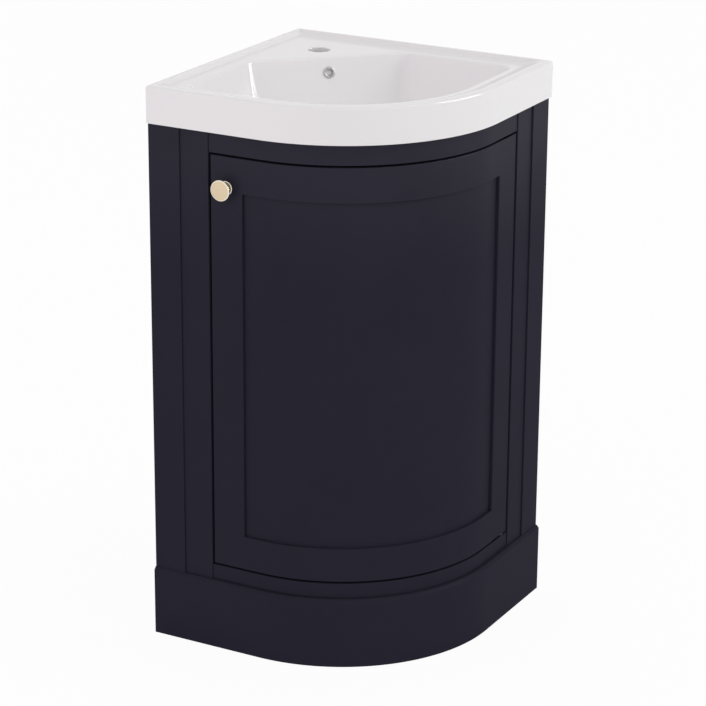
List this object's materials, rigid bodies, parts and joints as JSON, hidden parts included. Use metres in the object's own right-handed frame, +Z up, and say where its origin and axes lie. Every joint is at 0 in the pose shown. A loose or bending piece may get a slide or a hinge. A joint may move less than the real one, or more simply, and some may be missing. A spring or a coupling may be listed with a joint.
{
  "type": "corner vanity unit",
  "caption": "Bow-fronted corner cabinet with a framed, panelled bow door on pivots, a shelf, and a ceramic corner basin with its waste.",
  "frame": {"origin": "the room corner at floor level, where the two wall planes meet the floor", "axes": "+Z up; +X out of the left wall, along the right wall; -Y out of the right wall, along the left wall; the bow faces +X and -Y"},
  "size_m": [0.42, 0.432, 0.822],
  "materials": {
    "navy": "satin paint, dark blue-grey",
    "carcass": "foil-faced board, slate grey, with plain cut edges",
    "black_steel": "black oxide",
    "steel": "zinc plated",
    "nylon": "moulded, dark grey",
    "gold": "brushed, pale",
    "ceramic": "glazed vitreous china, white, opaque",
    "chrome": "polished",
    "rubber": "moulded"
  },
  "bodies": {
    "cabinet": {"plinth": "navy", "plinth_blocks": "carcass", "base_panel": "carcass", "left_side_panel": "carcass", "right_side_panel": "carcass", "corner_post": "carcass", "corner_brace": "carcass", "left_end_post": "navy", "right_end_post": "navy", "frame_left_stile": "navy", "frame_right_stile": "navy", "frame_top_rail": "navy", "frame_bottom_rail": "navy", "frame_pivot_plates": "black_steel", "pivot_pins": "black_steel", "frame_pivot_screws": "black_steel", "pivot_washer": "nylon", "shelf": "carcass", "shelf_pins": "steel", "catch_body": "nylon", "catch_screws": "steel", "door_stops": "carcass", "basin": "ceramic", "overflow_ring": "chrome", "waste_body": "chrome", "waste_seals": "rubber", "waste_nut": "chrome", "waste_cartridge": "nylon"},
    "door": {"door_left_stile": "navy", "door_right_stile": "navy", "door_top_rail": "navy", "door_bottom_rail": "navy", "door_panel": "navy", "door_pivot_plates": "black_steel", "door_pivot_screws": "black_steel", "knob_rose": "gold", "knob": "gold", "knob_screw": "steel", "strike_plate": "steel", "strike_screws": "steel"},
    "waste_plug": {"waste_plug": "chrome"}
  },
  "joints": [
    {"name": "door_hinge", "type": "hinge", "parent": "cabinet", "child": "door", "pos_m": [0.4045, -0.1085, 0.4325], "axis": [0, 0, 1], "range_deg": [0, 105]},
    {"name": "plug_slide", "type": "slide", "parent": "cabinet", "child": "waste_plug", "axis": [0, 0, 1], "range_m": [0, 0.008]}
  ]
}
